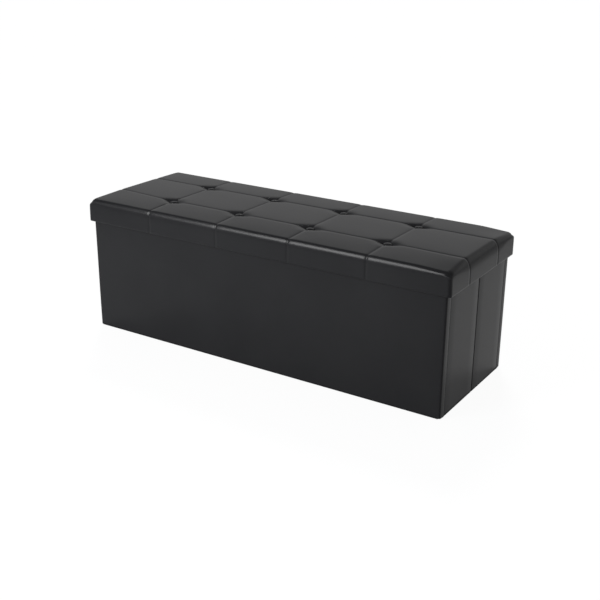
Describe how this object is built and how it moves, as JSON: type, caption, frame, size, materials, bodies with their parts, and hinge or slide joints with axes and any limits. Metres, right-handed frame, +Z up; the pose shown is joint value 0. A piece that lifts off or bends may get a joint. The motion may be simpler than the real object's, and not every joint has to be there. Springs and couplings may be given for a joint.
{
  "type": "folding storage ottoman bench",
  "caption": "Long box-shaped storage ottoman in black faux leather with a button-tufted lift-off lid, a base flap and ends that fold in so that it packs flat.",
  "frame": {"origin": "middle of the footprint, on the surface it stands on", "axes": "+X along the bench, -Y its front, +Z up"},
  "size_m": [1.1, 0.38, 0.38],
  "materials": {
    "faux_leather": "fine pebble grain, satin",
    "seam_leather": "folded and sewn, satin",
    "button_leather": "stretched over a dome, satin",
    "lining": "thin non-woven, matt",
    "board": "raw fibreboard",
    "foam": "open-cell foam",
    "fastener": "bare wire",
    "ribbon": "woven ribbon, matt"
  },
  "bodies": {
    "back_wall": {"back_board": "board", "back_cover": "faux_leather", "back_lining": "lining", "back_hem": "seam_leather", "back_left_corner_welt": "seam_leather", "back_right_corner_welt": "seam_leather", "base_hinge_seam": "seam_leather"},
    "front_wall": {"front_board": "board", "front_cover": "faux_leather", "front_lining": "lining", "front_hem": "seam_leather", "front_left_corner_welt": "seam_leather", "front_right_corner_welt": "seam_leather"},
    "base_flap": {"base_board": "board", "base_lining": "lining", "base_underlay": "lining", "base_pull_tab": "ribbon"},
    "lid": {"lid_board": "board", "lid_skirt_back_board": "board", "lid_skirt_front_board": "board", "lid_skirt_left_board": "board", "lid_skirt_right_board": "board", "lid_foam": "foam", "lid_top_cover": "faux_leather", "lid_skirt_cover": "faux_leather", "lid_lining": "lining", "tuft_buttons": "button_leather", "tuft_nails": "fastener", "lid_brads": "fastener"},
    "left_rear_half": {"left_rear_board": "board", "left_rear_cover": "faux_leather", "left_rear_lining": "lining", "left_rear_hem": "seam_leather", "left_crease_seam": "seam_leather"},
    "left_front_half": {"left_front_board": "board", "left_front_cover": "faux_leather", "left_front_lining": "lining", "left_front_hem": "seam_leather"},
    "right_rear_half": {"right_rear_board": "board", "right_rear_cover": "faux_leather", "right_rear_lining": "lining", "right_rear_hem": "seam_leather", "right_crease_seam": "seam_leather"},
    "right_front_half": {"right_front_board": "board", "right_front_cover": "faux_leather", "right_front_lining": "lining", "right_front_hem": "seam_leather"}
  },
  "joints": [
    {"name": "lid_lift", "type": "slide", "parent": "back_wall", "child": "lid", "axis": [0, 0, 1], "range_m": [0, 0.45]},
    {"name": "base_turn", "type": "hinge", "parent": "back_wall", "child": "base_flap", "pos_m": [0, 0.1732, 0.0042], "axis": [-1, 0, 0], "range_deg": [0, 90]},
    {"name": "left_rear_fold", "type": "hinge", "parent": "back_wall", "child": "left_rear_half", "pos_m": [-0.5344, 0.162, 0], "axis": [0, 0, 1], "range_deg": [0, 88], "deforming": ["front_hem", "left_rear_hem", "left_front_hem", "right_rear_hem", "right_front_hem"]},
    {"name": "left_crease", "type": "hinge", "parent": "left_rear_half", "child": "left_front_half", "pos_m": [-0.542, 0, 0], "axis": [0, 0, -1], "range_deg": [0, 176]},
    {"name": "left_front_fold", "type": "hinge", "parent": "left_front_half", "child": "front_wall", "pos_m": [-0.5344, -0.162, 0], "axis": [0, 0, 1], "range_deg": [0, 88]},
    {"name": "right_rear_fold", "type": "hinge", "parent": "back_wall", "child": "right_rear_half", "pos_m": [0.5344, 0.162, 0], "axis": [0, 0, -1], "range_deg": [0, 88]},
    {"name": "right_crease", "type": "hinge", "parent": "right_rear_half", "child": "right_front_half", "pos_m": [0.542, 0, 0], "axis": [0, 0, 1], "range_deg": [0, 176]}
  ],
  "couplings": [
    {"joint": "left_crease", "follows": "left_rear_fold", "ratio": 2},
    {"joint": "left_front_fold", "follows": "left_rear_fold", "ratio": 1},
    {"joint": "right_rear_fold", "follows": "left_rear_fold", "ratio": 1},
    {"joint": "right_crease", "follows": "left_rear_fold", "ratio": 2}
  ]
}
